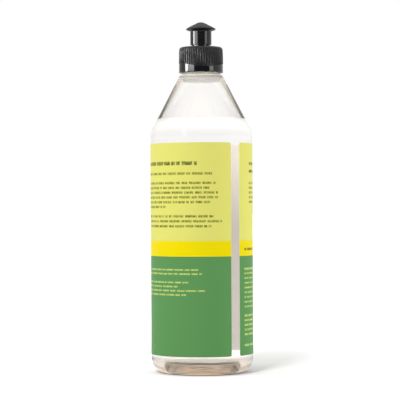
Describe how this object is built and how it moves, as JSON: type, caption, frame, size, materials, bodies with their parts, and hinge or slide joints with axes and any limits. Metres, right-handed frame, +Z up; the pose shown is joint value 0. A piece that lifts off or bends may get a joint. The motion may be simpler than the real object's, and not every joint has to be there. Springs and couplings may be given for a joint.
{
  "type": "dish soap bottle",
  "caption": "Clear round soap bottle with a cone shoulder, wrap-around film label and black screw closure with a push-pull spout.",
  "frame": {"origin": "on the floor under the bottle's axis", "axes": "+Z up the bottle's axis to the spout; -Y is the pictured side; the label's gap lies at -49.8 degrees from +X"},
  "size_m": [0.0662, 0.0662, 0.2272],
  "materials": {
    "clear_plastic": "clear glossy blown plastic",
    "label_film": "printed satin film",
    "soap": "clear liquid",
    "black_plastic": "glossy moulded plastic"
  },
  "bodies": {
    "bottle_body": {"bottle": "clear_plastic", "label": "label_film", "liquid_soap": "soap"},
    "closure_body": {"closure": "black_plastic"},
    "spout_body": {"spout": "black_plastic"}
  },
  "joints": [
    {"name": "closure_lift", "type": "slide", "parent": "bottle_body", "child": "closure_body", "axis": [0, 0, 1], "range_m": [0, 0.025]},
    {"name": "spout_pull", "type": "slide", "parent": "closure_body", "child": "spout_body", "axis": [0, 0, 1], "range_m": [0, 0.0045]}
  ]
}
